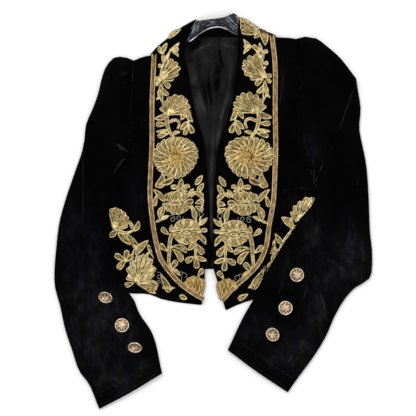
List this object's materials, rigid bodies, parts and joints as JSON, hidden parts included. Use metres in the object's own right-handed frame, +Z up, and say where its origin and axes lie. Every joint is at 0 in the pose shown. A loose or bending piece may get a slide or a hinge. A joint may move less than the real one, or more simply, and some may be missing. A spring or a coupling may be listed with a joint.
{
  "type": "cropped evening blazer",
  "caption": "Cropped black velvet evening blazer laid flat on its back, shawl lapels thick with gold floral goldwork and edged with braid, puffed sleeves, metal cuff buttons.",
  "frame": {"origin": "centre of the plan of the jacket as it lies, at the height of the surface under its back", "axes": "+Z up, away from the surface; +Y towards the collar; +X towards the picture's right, the wearer's left side"},
  "size_m": [0.572, 0.712, 0.0251],
  "materials": {
    "velvet": "black silk-like velvet pile with a slight cool sheen on folds",
    "lining": "dark grey satin lining, softly creased",
    "band_velvet": "crushed glossy blue-grey velvet of the neck band",
    "goldwork": "couched straw-gold cord over padding",
    "braid": "woven braid, light gold cords beside an antique bronze band",
    "button_metal": "antique pinkish-gold stamped metal, worn bright on the rim"
  },
  "bodies": {
    "root": {"back": "velvet", "back_lining": "lining", "neck_facing": "velvet", "collar_stand": "band_velvet", "front_left": "velvet", "front_right": "velvet", "lapel_left": "velvet", "lapel_right": "velvet", "braid_left": "braid", "braid_right": "braid", "sleeve_under_left": "velvet", "sleeve_under_right": "velvet", "sleeve_top_left": "velvet", "sleeve_top_right": "velvet", "button_left_1": "button_metal", "button_left_2": "button_metal", "button_left_3": "button_metal", "button_right_1": "button_metal", "button_right_2": "button_metal", "button_right_3": "button_metal"}
  },
  "joints": []
}
